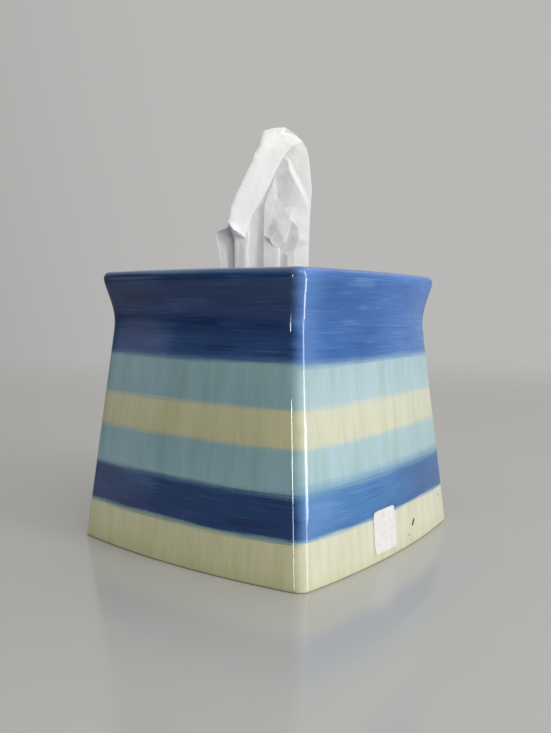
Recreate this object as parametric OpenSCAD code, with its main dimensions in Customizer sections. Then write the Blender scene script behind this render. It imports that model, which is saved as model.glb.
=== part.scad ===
// Tissue box cover: a glazed ceramic shell that stands over a cube carton of tissues,
// with one tissue pulled up through the round hole in its top.
// Millimetres, +Z up, origin at the centre of the base. +X is the side with the label.

/* [Cover] */
// Headroom between the carton and the cover's top plate
headroom = 11.5; // [6:0.5:25]
// Gap between the carton and the cover's waist, measured beside the corners
waist_gap = 2.4; // [2:0.1:6]
// Distance of the waist below the cover's top
waist_drop = 26.8; // [20:0.2:45]
// Radius of the curve that turns the taper into the flare
waist_r = 46; // [20:1:70]
// Lean of the sides below the waist, in degrees
taper_angle = 5.75; // [3:0.25:8]
// Lean of the rim above the waist, in degrees
flare_angle = 13.2; // [6:0.2:18]
// How far the middle of each side bows out beyond its corners
side_bow = 5.5; // [2:0.5:8]
// Radius of the upright corners, outside
corner_r = 7; // [5:0.5:12]
// Radius of the upright corners, inside
inner_corner_r = 4; // [2:0.5:6]
// Thickness of the sides
wall_t = 5.2; // [4:0.2:5.8]
// Thickness of the top plate
top_t = 5.5; // [4:0.5:8]
// Radius on the outer edge of the top
rim_r = 3; // [1:0.5:4]
// Radius on the outer edge of the foot
foot_r = 1.2; // [0.4:0.2:2]
// Radius where the hollow meets the underside of the top plate
ceiling_r = 5; // [2:0.5:8]

/* [Hole in the top] */
// Diameter of the hole
hole_d = 76; // [70:1:84]
// Radius on the upper and lower edge of the hole
lip_r = 1.6; // [0.6:0.2:1.8]

/* [Price label] */
// Width of the label
label_w = 20.5; // [12:0.5:40]
// Height of the label
label_h = 21; // [12:0.5:40]
// Thickness of the paper
label_t = 0.25; // [0.1:0.05:0.4]
// Distance of the label's centre from the middle of the side, towards the front corner
label_side = 9.7; // [0:0.1:30]
// Height of the label's lower edge
label_up = 4; // [3:0.5:60]

/* [Carton] */
// Width and depth of the carton
carton_w = 112; // [106:0.5:113]
// Height of the carton
carton_h = 127; // [118:1:128]
// Thickness of the cardboard
board_t = 0.5; // [0.4:0.1:1]
// Width of the cardboard left on each long side of the opening in the top
slot_side = 33; // [26:1:40]
// Width of the glued seam inside one upright edge
seam_w = 14; // [8:1:20]
// Length of the dust flaps under the carton's top
top_flap_l = 6; // [3:0.5:8]
// Length of the dust flaps on the carton's bottom
bottom_flap_l = 45; // [20:1:50]

/* [Dispensing film] */
// Thickness of the film
film_t = 0.25; // [0.1:0.05:0.4]
// Width of film glued to the cardboard beside the opening
film_margin = 6; // [4:0.5:8]
// Gap between the film and the dust flaps
film_gap = 1.5; // [1:0.5:4]
// Gap between the ends of the slit and the tissue
slit_end = 6; // [5:0.5:9]
// Gap between the sides of the slit and the tissue
slit_gap = 2; // [1.5:0.1:3]

/* [Tissue stack] */
// Gap between the stack and the carton's walls
stack_gap = 2.5; // [1:0.5:5]
// Depth of the space between the film and the stack
stack_drop = 12.75; // [5:0.25:60]
// Radius of the stack's bend
bend_r = 30; // [15:1:45]
// Gap between the stack's two legs
leg_gap = 3; // [1:0.5:3.5]

/* [Tissue] */
// How far the tissue stands up above the cover
tissue_rise = 80; // [50:1:100]
// How far the tissue's widest fold stays inside the hole, so that the cover lifts off over it
lift_gap = 4.4; // [3:0.2:12]
// Width of the bunched tissue where it passes through the slit
neck_w = 44; // [30:1:46]
// Half thickness of the bunched tissue at its middle, in the slit
neck_d = 3.4; // [2:0.2:4]
// Half thickness of the popped-up tissue at its fullest
puff_d = 8.6; // [5:0.2:10]
// Half thickness of the tissue along its edges
edge_d = 1.2; // [0.6:0.1:1.4]
// Depth of the upright folds
fold_d = 1.5; // [0.5:0.1:2]
// Number of upright folds across the tissue
fold_count = 3.5; // [2:0.5:5]
// How far the turned-down flap stands in front of the rest
flap_d = 3; // [1:0.5:4]
// Direction that the popped-up tissue faces, turned from the front, in degrees
tissue_turn = 33.8; // [0:0.2:45]

/* [Hidden] */

glaze = [0.25, 0.42, 0.68];
paper_white = [0.94, 0.94, 0.92];
board_white = [0.86, 0.86, 0.84];
film_clear = [0.80, 0.86, 0.90];
tissue_white = [0.97, 0.97, 0.97];

overrun = 1;
seat_gap = 0.02;
rest_gap = 0.3;
face_steps = 14;
corner_steps = 6;
round_steps = 4;
waist_steps = 8;
facets = 96;
fine_facets = 720;

cover_h = carton_h + headroom + top_t;
waist_w = carton_w + 2 * (waist_gap + wall_t);
waist_h = cover_h - waist_drop;
slot_l = carton_w - 2 * (board_t + top_flap_l + film_gap + film_margin);
slot_w = carton_w - 2 * slot_side;
slit_l = neck_w + 2 * slit_end;
tissue_reach = hole_d / 2 - lift_gap;

// Half width of the cover beside its corners, at height z
function corner_half(z) = let (
    low = waist_h - waist_r * sin(taper_angle),
    high = waist_h + waist_r * sin(flare_angle),
    low_in = waist_r * (1 - cos(taper_angle)),
    high_in = waist_r * (1 - cos(flare_angle))
) waist_w / 2 + (
    z < low ? low_in + (low - z) * tan(taper_angle)
    : z > high ? high_in + (z - high) * tan(flare_angle)
    : waist_r - sqrt(waist_r * waist_r - (z - waist_h) * (z - waist_h))
);

// Angle from a side's middle to where its bow runs into the corner
function bow_angle(centre, bow) = 2 * atan(bow / centre);

// One level of the cover: a square with bowed sides and round corners. Its points follow
// the direction of the outward normal, so an inset of every radius is a true wall.
function section(centre, r, bow, z) = let (
    lean = bow_angle(centre, bow),
    side_r = centre / sin(lean) + r,
    side_x = (r - side_r) * cos(lean) + centre
) [
    for (side = [0:3])
        for (step = [0:face_steps + corner_steps - 1]) let (
            on_side = step < face_steps,
            part = on_side ? step / face_steps : (step - face_steps) / corner_steps,
            turn = on_side ? lean * (2 * part - 1) : lean + (90 - 2 * lean) * part,
            x = on_side ? side_x + side_r * cos(turn) : centre + r * cos(turn),
            y = on_side ? side_r * sin(turn) : centre + r * sin(turn),
            a = 90 * side
        ) [x * cos(a) - y * sin(a), x * sin(a) + y * cos(a), z]
];

// Outside level at height z, drawn in by inset on the rounded rim and foot
function outer_level(z, inset) =
    section(corner_half(z) - corner_r, corner_r - inset, side_bow, z);

// Inside level at height z, drawn in further by inset under the top plate
function inner_level(z, inset) =
    section(corner_half(z) - wall_t - inset - inner_corner_r, inner_corner_r, side_bow, z);

// Faces between rings of equal length, stacked from the first to the last, with end caps
function stack_faces(rings, n) = concat(
    [[for (i = [n - 1:-1:0]) i]],
    [for (k = [0:rings - 2]) for (i = [0:n - 1]) let (j = (i + 1) % n)
        [k * n + i, k * n + j, (k + 1) * n + i]],
    [for (k = [0:rings - 2]) for (i = [0:n - 1]) let (j = (i + 1) % n)
        [k * n + j, (k + 1) * n + j, (k + 1) * n + i]],
    [[for (i = [0:n - 1]) (rings - 1) * n + i]]
);

module ring_solid(levels) {
    flat_points = [for (level = levels) each level];
    polyhedron(points = flat_points, faces = stack_faces(len(levels), len(levels[0])));
}

ceiling_z = cover_h - top_t;
arc_low = waist_h - waist_r * sin(taper_angle);
arc_high = min(waist_h + waist_r * sin(flare_angle), cover_h - rim_r - rest_gap);
taper_shares = [0.25, 0.5, 0.75];

// The cover as one skin, from the middle of the top, down the outside and up the hollow
module shell() {
    rim = [for (i = [round_steps:-1:0]) let (a = 90 * i / round_steps)
        outer_level(cover_h - rim_r * (1 - sin(a)), rim_r * (1 - cos(a)))];
    waist = [for (i = [waist_steps:-1:0])
        outer_level(arc_low + (arc_high - arc_low) * i / waist_steps, 0)];
    taper = [for (i = [len(taper_shares) - 1:-1:0]) outer_level(arc_low * taper_shares[i], 0)];
    foot = [for (i = [0:round_steps]) let (a = 90 * i / round_steps)
        outer_level(foot_r * (1 - sin(a)), foot_r * (1 - cos(a)))];
    hollow = concat(
        [inner_level(0, 0)],
        [for (share = taper_shares) inner_level(arc_low * share, 0)],
        [for (i = [0:waist_steps])
            inner_level(arc_low + (ceiling_z - ceiling_r - arc_low) * i / waist_steps, 0)],
        [for (i = [1:round_steps]) let (a = 90 * i / round_steps)
            inner_level(ceiling_z - ceiling_r * (1 - sin(a)), ceiling_r * (1 - cos(a)))]
    );
    ring_solid(concat(rim, waist, taper, foot, hollow));
}

// What the round hole takes out of the top plate, leaving a rounded edge above and below
module hole_cut() {
    nose_x = hole_d / 2 + lip_r;
    rotate_extrude($fn = facets) difference() {
        translate([0, ceiling_z - overrun]) square([nose_x, top_t + 2 * overrun]);
        translate([nose_x, ceiling_z + lip_r]) circle(r = lip_r, $fn = facets);
        translate([nose_x, cover_h - lip_r]) circle(r = lip_r, $fn = facets);
        translate([hole_d / 2, ceiling_z + lip_r]) square([lip_r, top_t - 2 * lip_r]);
    }
}

module cover() {
    color(glaze) difference() {
        shell();
        hole_cut();
    }
}

// A paper label pressed onto the bowed side, which is part of a leaning cylinder there
module price_label() {
    middle = label_up + label_h / 2;
    half = corner_half(middle);
    side_r = (half - corner_r) / sin(bow_angle(half - corner_r, side_bow)) + corner_r;
    color(paper_white) translate([half + side_bow + seat_gap, 0, middle])
        rotate([0, -taper_angle, 0]) translate([-side_r, 0, -label_h / 2])
            linear_extrude(label_h) intersection() {
                difference() {
                    circle(r = side_r + label_t, $fn = fine_facets);
                    circle(r = side_r, $fn = fine_facets);
                }
                translate([0, -label_side - label_w / 2]) square([2 * side_r, label_w]);
            }
}

carton_in = carton_w - 2 * board_t;
stack_z = 3 * board_t;

module round_slot(length, width) {
    for (x = [-1, 1]) translate([x * (length - width) / 2, 0]) circle(d = width, $fn = facets);
    square([length - width, width], center = true);
}

// Board that lies flat across the carton, from one end wall inwards
module flap(length, thick, end) {
    translate([end > 0 ? carton_w / 2 - length : -carton_w / 2, -carton_w / 2])
        cube([length, carton_w, thick]);
}

// One folded blank: four walls with a glued seam, a top with its opening, and flaps
// that lap over each other top and bottom
module carton() {
    color(board_white) {
        linear_extrude(carton_h) difference() {
            square(carton_w, center = true);
            square(carton_in, center = true);
        }
        translate([-carton_w / 2, -carton_w / 2, 0])
            cube([board_t + seam_w, 2 * board_t, carton_h]);
        translate([0, 0, carton_h - board_t]) linear_extrude(board_t) difference() {
            square(carton_w, center = true);
            round_slot(slot_l, slot_w);
        }
        for (end = [-1, 1]) {
            translate([0, 0, carton_h - 2 * board_t])
                flap(board_t + top_flap_l, 2 * board_t, end);
            flap(bottom_flap_l, stack_z, end);
        }
        translate([-carton_w / 2, -carton_w / 2, 0]) cube([carton_w, carton_w, board_t]);
        translate([-carton_w / 2, -carton_w / 2, 0])
            cube([carton_w, carton_w / 2 + seam_w, 2 * board_t]);
    }
}

film_top = carton_h - board_t;
stack_h = film_top - film_t - stack_drop - stack_z;
stack_top = stack_z + stack_h;
neck_share = 0.3;

// Thin film glued under the carton's top, with a slit that the tissue holds open
module dispensing_film() {
    slit_w = 2 * (edge_d + neck_d + neck_share * fold_d + slit_gap);
    slit_r = (slit_l * slit_l + slit_w * slit_w) / (4 * slit_w);
    color(film_clear) translate([0, 0, film_top - film_t]) linear_extrude(film_t) difference() {
        square([slot_l + 2 * film_margin, slot_w + 2 * film_margin], center = true);
        intersection_for (side = [-1, 1])
            translate([0, side * (slit_r - slit_w / 2)]) circle(r = slit_r, $fn = facets);
    }
}

// The clip of interleaved tissues, bent over into an upside-down U
module tissue_stack() {
    half = carton_in / 2 - stack_gap;
    leg_top = stack_h - 2 * bend_r;
    color(tissue_white) translate([0, half, stack_z]) rotate([90, 0, 0])
        linear_extrude(2 * half) difference() {
            union() {
                translate([-half, 0]) square([2 * half, stack_h - bend_r]);
                for (x = [-1, 1]) translate([x * (half - bend_r), stack_h - bend_r])
                    circle(r = bend_r, $fn = facets);
                translate([bend_r - half, 0]) square([2 * (half - bend_r), stack_h]);
            }
            translate([-leg_gap / 2, -overrun]) square([leg_gap, leg_top + overrun]);
            translate([0, leg_top]) circle(d = leg_gap, $fn = facets);
        }
}

// Outline of the popped-up tissue as it is seen from the front: heights above the cover
// as shares of its rise, and its two edges and the flap's crease as shares of its reach
height_shares = [0, 0.06, 0.15, 0.21, 0.28, 0.33, 0.41, 0.575, 0.7, 0.8, 0.9, 0.965, 1];
left_shares = [-0.74, -0.77, -0.85, -0.94, -1, -0.8, -0.75, -0.62, -0.46, -0.37, -0.3, -0.2, 0];
right_shares = [0.59, 0.59, 0.58, 0.58, 0.59, 0.59, 0.6, 0.62, 0.57, 0.55, 0.47, 0.36, 0.3];
crease_shares = [-1, -1, -1, -1, -1, -0.48, -0.37, -0.17, 0, 0.13, 0.43, 0.36, 0.3];
puff_shares = [0.8, 0.85, 0.95, 1, 1, 1, 0.95, 0.9, 0.8, 0.7, 0.55, 0.4, 0.2];

function along(shares, z) =
    lookup((z - cover_h) / tissue_rise, [for (i = [0:len(shares) - 1]) [height_shares[i], shares[i]]]);

// How far the tissue has opened out and turned between the film, 0, and the cover's top, 1
function opened(z) = max(0, min(1, (z - carton_h) / (cover_h - carton_h)));

function tissue_level(z) = let (
    n = 14,
    open = opened(z),
    left = -neck_w / 2 * (1 - open) + along(left_shares, z) * tissue_reach * open,
    right = neck_w / 2 * (1 - open) + along(right_shares, z) * tissue_reach * open,
    crease = along(crease_shares, z) * tissue_reach,
    depth = neck_d * (1 - open) + along(puff_shares, z) * puff_d * open,
    turn = tissue_turn * open,
    side = function (t, near) let (
        x = left + (right - left) * t,
        crown = sqrt(4 * t * (1 - t)),
        phase = 120 * (z - carton_h) / tissue_rise,
        folded = fold_d * (neck_share + (1 - neck_share) * open),
        wave = folded * sin(360 * fold_count * t + phase) * crown,
        lap = flap_d * crown * max(0, min(1, (crease - x) / flap_d)),
        d = near * (edge_d + depth * crown) + wave + (near > 0 ? lap : 0)
    ) [x * cos(turn) + d * sin(turn), x * sin(turn) - d * cos(turn), z]
) concat(
    [for (i = [0:n]) side(i / n, 1)],
    [for (i = [n:-1:0]) side(i / n, -1)]
);

// The popped-up tissue, as a closed form with its main folds and turned-down flap
module tissue() {
    foot_z = stack_top + rest_gap;
    tip_z = cover_h + tissue_rise;
    steps = 30;
    neck = [foot_z, film_top - film_t, carton_h];
    open = [for (i = [1:4]) carton_h + (cover_h - carton_h) * i / 4];
    stand = [for (i = [1:steps]) cover_h + tissue_rise * i / steps];
    levels = concat(neck, open, stand);
    color(tissue_white)
        ring_solid([for (i = [len(levels) - 1:-1:0]) tissue_level(levels[i])]);
}

cover();
price_label();
carton();
dispensing_film();
tissue_stack();
tissue();
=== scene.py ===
import functools
import math

import bpy
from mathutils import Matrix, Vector, noise
from mathutils.bvhtree import BVHTree
from mathutils.geometry import delaunay_2d_cdt


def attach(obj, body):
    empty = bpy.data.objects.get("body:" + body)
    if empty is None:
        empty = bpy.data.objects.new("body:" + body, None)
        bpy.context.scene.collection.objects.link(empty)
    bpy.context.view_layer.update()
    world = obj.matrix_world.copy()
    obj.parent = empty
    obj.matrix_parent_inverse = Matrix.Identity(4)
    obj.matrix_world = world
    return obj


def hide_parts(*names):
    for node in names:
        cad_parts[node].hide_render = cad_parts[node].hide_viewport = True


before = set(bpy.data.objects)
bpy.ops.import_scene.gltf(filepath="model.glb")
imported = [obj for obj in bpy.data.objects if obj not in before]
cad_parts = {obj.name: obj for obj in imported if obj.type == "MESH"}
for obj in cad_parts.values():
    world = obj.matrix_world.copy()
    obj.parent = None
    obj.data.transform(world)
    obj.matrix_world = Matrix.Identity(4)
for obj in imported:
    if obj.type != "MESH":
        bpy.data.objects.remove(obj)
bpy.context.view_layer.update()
scene = bpy.context.scene
scene.view_settings.view_transform = "Standard"
mm = 0.001


# sRGB hex to the linear values that a colour socket takes
def linearColour(text):
    channels = [int(text[i:i + 2], 16) / 255 for i in (1, 3, 5)]
    return [v / 12.92 if v <= 0.04045 else ((v + 0.055) / 1.055) ** 2.4 for v in channels] + [1]


# A mapped range with this setting fades smoothly at both ends
smooth = {"interpolation_type": "SMOOTHSTEP"}


def inMm(lengths):
    return [length * mm for length in lengths]


# Adds one node and gives back one output, or the node itself where output is None. A setting is
# an option of the node, a socket's value, or the output of another node that it is linked from
def addNode(tree, kind, settings=None, output=0):
    node = tree.nodes.new("ShaderNode" + kind)
    for key, value in (settings or {}).items():
        if key == "stops":
            stops = node.color_ramp.elements
            while len(stops) < len(value):
                stops.new(0.5)
            for stop, (position, colour) in zip(stops, value):
                stop.position = position
                stop.color = linearColour(colour)
        elif key in ("From", "To"):
            node.inputs[key + " Min"].default_value, node.inputs[key + " Max"].default_value = value
        elif isinstance(key, str) and hasattr(node, key):
            setattr(node, key, value)
        elif isinstance(value, bpy.types.NodeSocket):
            tree.links.new(value, node.inputs[key])
        elif isinstance(value, str):
            node.inputs[key].default_value = linearColour(value)
        else:
            node.inputs[key].default_value = value
    return node if output is None or not node.outputs else node.outputs[output]


# A new material, addNode for its own tree, and the coordinates of the object that wears it
def newTree(name):
    material = bpy.data.materials.new(name)
    material.use_nodes = True
    material.node_tree.nodes.clear()
    add = functools.partial(addNode, material.node_tree)
    return material, add, add("TexCoord", output="Object")


def deselectAll():
    if bpy.context.object and bpy.context.object.mode != "OBJECT":
        bpy.ops.object.mode_set(mode="OBJECT")
    bpy.ops.object.select_all(action="DESELECT")


def applyAll(piece):
    deselectAll()
    piece.select_set(True)
    bpy.context.view_layer.objects.active = piece
    for modifier in list(piece.modifiers):
        bpy.ops.object.modifier_apply(modifier=modifier.name)


def smoothStep(low, high, value):
    share = min(1.0, max(0.0, (value - low) / (high - low)))
    return share * share * (3 - 2 * share)


def between(points, x):
    if x <= points[0][0]:
        return points[0][1]
    for (x0, y0), (x1, y1) in zip(points, points[1:]):
        if x <= x1:
            return y0 + (y1 - y0) * (x - x0) / (x1 - x0)
    return points[-1][1]


# The camera stands where the photographer did: close, and a little below the rim
cameraSettings = {
    "location": (0.25661, -0.33180, 0.12640),
    "turn": (85.336, -0.457, 35.280),
    "lens": 36.48,
    "shiftX": -0.0409,
}
bpy.ops.object.camera_add(location=cameraSettings["location"],
                          rotation=[math.radians(a) for a in cameraSettings["turn"]])
camera = bpy.context.object
camera.name = "camera"
camera.data.lens = cameraSettings["lens"]
camera.data.shift_x = cameraSettings["shiftX"]
scene.camera = camera
print("camera placed")


# Lengths of the studio are in metres
studio = {
    "floorRadius": 2.6, "floorSides": 96, "floorColour": "#B4B3B0", "floorRoughness": 0.15,
    "floorFade": (0.55, 1.5),   # how far from the middle the floor fades out
    "roomBright": "#B9B8B6", "roomDim": "#545659", "ceiling": "#E6E6E4",
    # Where the room is bright, and the cosines that it and the ceiling fade between
    "roomToward": (0.35, 0.90, 0.25), "roomFade": (-0.7, 0.5), "ceilingFade": (0.42, 0.75),
    # A soft dim glow far left: where it lies, its colour, and the cosines that it fades between
    "glowToward": (-0.868, -0.484, 0.085), "glowColour": "#A9AABC", "glowFade": (0.9740, 0.9985),
    # A tall window on the label's side, a soft one above the camera, a small one in front of the
    # other side and a low card by the label's side: direction in degrees, distance, height, size, power
    "lamps": {
        "keyLight": (2, 1.15, 0.42, (0.24, 1.15), 7.6),
        "softLight": (-30, 1.05, 0.98, (0.8, 0.8), 4.2),
        "stripLight": (-92, 1.15, 0.095, (0.10, 0.19), 1.3),
        "cardLight": (-2, 0.262, 0.050, (0.045, 0.070), 0.12),
    },
    "lampsAim": (0, 0, 0.10),
}


def makeFloorMaterial():
    # Satin painted board, which goes clear far out so that the room shows behind it
    material, add, coords = newTree("satinFloorBoard")
    distance = add("VectorMath", {"operation": "LENGTH", 0: coords}, "Value")
    fade = add("MapRange", {**smooth, "Value": distance, "From": studio["floorFade"]})
    board = add("BsdfPrincipled", {"Base Color": studio["floorColour"],
                                   "Roughness": studio["floorRoughness"]})
    clear = add("BsdfTransparent")
    mix = add("MixShader", {0: fade, 1: board, 2: clear})
    add("OutputMaterial", {"Surface": mix})
    return material


deselectAll()
bpy.ops.mesh.primitive_circle_add(vertices=studio["floorSides"], radius=studio["floorRadius"],
                                  fill_type="NGON")
floor = bpy.context.object
floor.name = "floor"
floor.data.materials.append(makeFloorMaterial())


def makeRoom():
    # A pale room that is brightest on the far side and overhead, and dim behind the photographer
    world = bpy.data.worlds.new("studioRoom")
    world.use_nodes = True
    world.node_tree.nodes.clear()
    add = functools.partial(addNode, world.node_tree)
    facing = add("VectorMath", {"operation": "DOT_PRODUCT", 0: add("TexCoord"),
                                1: Vector(studio["roomToward"]).normalized()}, "Value")
    share = add("MapRange", {**smooth, "Value": facing, "From": studio["roomFade"]})
    tint = add("Mix", {"data_type": "RGBA", 0: share, 6: studio["roomDim"], 7: studio["roomBright"]}, 2)
    up = add("SeparateXYZ", {0: add("TexCoord")}, "Z")
    overhead = add("MapRange", {**smooth, "Value": up, "From": studio["ceilingFade"]})
    tint = add("Mix", {"data_type": "RGBA", 0: overhead, 6: tint, 7: studio["ceiling"]}, 2)
    aside = add("VectorMath", {"operation": "DOT_PRODUCT", 0: add("TexCoord"),
                               1: Vector(studio["glowToward"]).normalized()}, "Value")
    glow = add("MapRange", {**smooth, "Value": aside, "From": studio["glowFade"]})
    tint = add("Mix", {"data_type": "RGBA", 0: glow, 6: tint, 7: studio["glowColour"]}, 2)
    add("OutputWorld", {"Surface": add("Background", {"Color": tint, "Strength": 1.0})})
    return world


scene.world = makeRoom()
for name, (turn, reach, height, size, power) in studio["lamps"].items():
    angle = math.radians(turn)
    bpy.ops.object.light_add(type="AREA")
    lamp = bpy.context.object
    lamp.name = name
    lamp.data.shape = "RECTANGLE"
    lamp.data.size, lamp.data.size_y = size
    lamp.data.energy = power
    lamp.visible_camera = False
    lamp.visible_diffuse = name != "cardLight"   # the card shows only in gloss, on the flared corner
    lamp.location = (reach * math.cos(angle), reach * math.sin(angle), height)
    toward = Vector(studio["lampsAim"]) - lamp.location
    lamp.rotation_euler = toward.to_track_quat("-Z", "Y").to_euler()
print("floor, room and lamps ready")


coverSettings = {
    "height": 144, "waistHalf": 63.6, "waistHeight": 117.2, "waistRadius": 46,
    "taper": 5.75, "flare": 13.2, "bow": 5.5,
    "cornerRadius": 7, "innerCornerRadius": 4, "wall": 5.2, "top": 5.5,
    "rimRadius": 5.5, "footRadius": 1.2, "ceilingRadius": 5,
    "holeRadius": 38, "lipRadius": 1.6,
    "sideSteps": 22, "cornerSteps": 10, "roundSteps": 4,
    # Heights of the rings on the outside and in the hollow, with a small chamfer inside the foot
    "outsideRings": (4, 10, 20, 32, 44, 56, 68, 80, 92, 102, 109, 113.5, 117, 120.5, 124, 127.5, 131, 135),
    "insideRings": (127, 122, 117, 112, 104, 92, 78, 64, 50, 36, 22, 10, 3, 0.9), "footChamfer": 0.5,
    # Rings of the top plate, from the rim to the hole above it and back below it, as shares of the way
    "topRings": (0.08, 0.25, 0.45, 0.65, 0.83, 0.95), "ceilingRings": (0.2, 0.5, 0.8),
    "waviness": 0.22, "wavinessSize": 38, "wavyRings": (5, 9, 20, 23),   # fades in and out over these rings
}


# Half width beside the corners at a height
def cornerHalf(z):
    s = coverSettings
    taper, flare, radius = math.radians(s["taper"]), math.radians(s["flare"]), s["waistRadius"]
    low = s["waistHeight"] - radius * math.sin(taper)
    high = s["waistHeight"] + radius * math.sin(flare)
    if z < low:
        return s["waistHalf"] + radius * (1 - math.cos(taper)) + (low - z) * math.tan(taper)
    if z > high:
        return s["waistHalf"] + radius * (1 - math.cos(flare)) + (z - high) * math.tan(flare)
    return s["waistHalf"] + radius - math.sqrt(radius ** 2 - (z - s["waistHeight"]) ** 2)


# The bowed side is an arc: its half angle, its radius and the middle of its circle
def sideArc(centre, radius):
    lean = 2 * math.atan(coverSettings["bow"] / centre)
    sideRadius = centre / math.sin(lean) + radius
    return lean, sideRadius, (radius - sideRadius) * math.cos(lean) + centre


# A square with bowed sides and round corners, as points in mm
def coverOutline(centre, radius, z):
    lean, sideRadius, sideX = sideArc(centre, radius)
    sides, corners = coverSettings["sideSteps"], coverSettings["cornerSteps"]
    points = []
    for side in range(4):
        for step in range(sides + corners):
            if step < sides:
                turn = lean * (2 * step / sides - 1)
                x, y = sideX + sideRadius * math.cos(turn), sideRadius * math.sin(turn)
            else:
                turn = lean + (math.pi / 2 - 2 * lean) * (step - sides) / corners
                x, y = centre + radius * math.cos(turn), centre + radius * math.sin(turn)
            a = math.pi / 2 * side
            points.append(Vector((x * math.cos(a) - y * math.sin(a), x * math.sin(a) + y * math.cos(a), z)))
    return points


def outerOutline(z, inset=0.0):
    radius = coverSettings["cornerRadius"]
    return coverOutline(cornerHalf(z) - radius, radius - inset, z)


def innerOutline(z, inset=0.0):
    radius = coverSettings["innerCornerRadius"]
    return coverOutline(cornerHalf(z) - coverSettings["wall"] - inset - radius, radius, z)


def circleOutline(like, radius, z):
    return [Vector((p.x, p.y, 0)).normalized() * radius + Vector((0, 0, z)) for p in like]


# Every ring of the cover in turn: foot, outside, rim, top and lip, then the lip, ceiling and hollow inside
def coverRings():
    s = coverSettings
    top, foot, rim, lip = s["height"], s["footRadius"], s["rimRadius"], s["lipRadius"]
    ceiling = top - s["top"]
    quarter = [math.pi / 2 * i / s["roundSteps"] for i in range(s["roundSteps"] + 1)]
    outside = [outerOutline(foot * (1 - math.sin(a)), foot * (1 - math.cos(a))) for a in reversed(quarter)]
    outside += [outerOutline(z) for z in s["outsideRings"]]
    outside += [outerOutline(top - rim * (1 - math.sin(a)), rim * (1 - math.cos(a))) for a in quarter]
    edge = outside[-1]
    lipEdge = s["holeRadius"] + lip
    across = circleOutline(edge, lipEdge, top)
    outside += [[p.lerp(q, share) for p, q in zip(edge, across)] for share in s["topRings"]]
    outside += [circleOutline(edge, lipEdge - lip * math.sin(a), top - lip * (1 - math.cos(a)))
                for a in quarter]
    inside = [circleOutline(edge, lipEdge - lip * math.sin(a), ceiling + lip * (1 - math.cos(a)))
              for a in reversed(quarter)]
    curve = s["ceilingRadius"]
    under, lipUnder = innerOutline(ceiling, curve), circleOutline(edge, lipEdge, ceiling)
    inside += [[p.lerp(q, share) for p, q in zip(lipUnder, under)] for share in s["ceilingRings"]]
    inside += [innerOutline(ceiling - curve * (1 - math.sin(a)), curve * (1 - math.cos(a)))
               for a in reversed(quarter)]
    inside += [innerOutline(z) for z in s["insideRings"]]
    inside.append(innerOutline(0, -s["footChamfer"]))
    return outside, inside


def makeCover():
    s = coverSettings
    outside, inside = coverRings()
    rings = outside + inside
    count = len(rings[0])
    deselectAll()
    bpy.ops.mesh.primitive_circle_add(vertices=count, radius=s["waistHalf"] * mm)
    piece = bpy.context.object
    piece.name = "glazedCover"
    bpy.ops.object.mode_set(mode="EDIT")
    bpy.ops.mesh.select_all(action="SELECT")
    for ring in rings[1:]:
        bpy.ops.mesh.extrude_edges_move(TRANSFORM_OT_translate={"value": (0, 0, s["wall"] * mm)})
    bpy.ops.object.mode_set(mode="OBJECT")
    # Each extruded loop goes to its own outline
    for i, vertex in enumerate(piece.data.vertices):
        vertex.co = rings[i // count][i % count] * mm
    bpy.ops.object.mode_set(mode="EDIT")
    bpy.ops.mesh.select_all(action="DESELECT")
    bpy.ops.object.mode_set(mode="OBJECT")
    last = (len(rings) - 1) * count
    for line in piece.data.edges:
        a, b = line.vertices
        line.select = (a < count and b < count) or (a >= last and b >= last)
    for vertex in piece.data.vertices:
        vertex.select = vertex.index < count or vertex.index >= last
    bpy.ops.object.mode_set(mode="EDIT")
    bpy.ops.mesh.bridge_edge_loops()
    bpy.ops.mesh.select_all(action="SELECT")
    bpy.ops.mesh.normals_make_consistent(inside=False)
    bpy.ops.object.mode_set(mode="OBJECT")

    # Painted outside, clear glaze in the hollow, and a bare ring where it stood in the kiln
    for face in piece.data.polygons:
        low, high = min(face.vertices) // count, max(face.vertices) // count
        face.material_index = 1 if low >= len(outside) - 1 else 0
        if high - low > 1 or high >= len(rings) - 1 or high <= 1:
            face.material_index = 2

    # Cast walls are never quite true, so the outside gets a slight slow wave
    skin = piece.vertex_groups.new(name="outside")
    begin, full, hold, end = s["wavyRings"]
    for vertex in piece.data.vertices:
        ring = vertex.index // count
        if begin < ring < end:
            weight = smoothStep(begin, full, ring) * (1 - smoothStep(hold, end, ring))
            skin.add([vertex.index], weight, "REPLACE")
    clouds = bpy.data.textures.new("castWave", "CLOUDS")
    clouds.noise_scale = s["wavinessSize"] * mm
    wave = piece.modifiers.new("castWave", "DISPLACE")
    wave.texture = clouds
    wave.texture_coords = "LOCAL"
    wave.strength = s["waviness"] * mm
    wave.vertex_group = "outside"
    fine = piece.modifiers.new("fine", "SUBSURF")
    fine.levels = fine.render_levels = 1
    applyAll(piece)
    bpy.ops.object.shade_smooth()
    return piece


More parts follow.
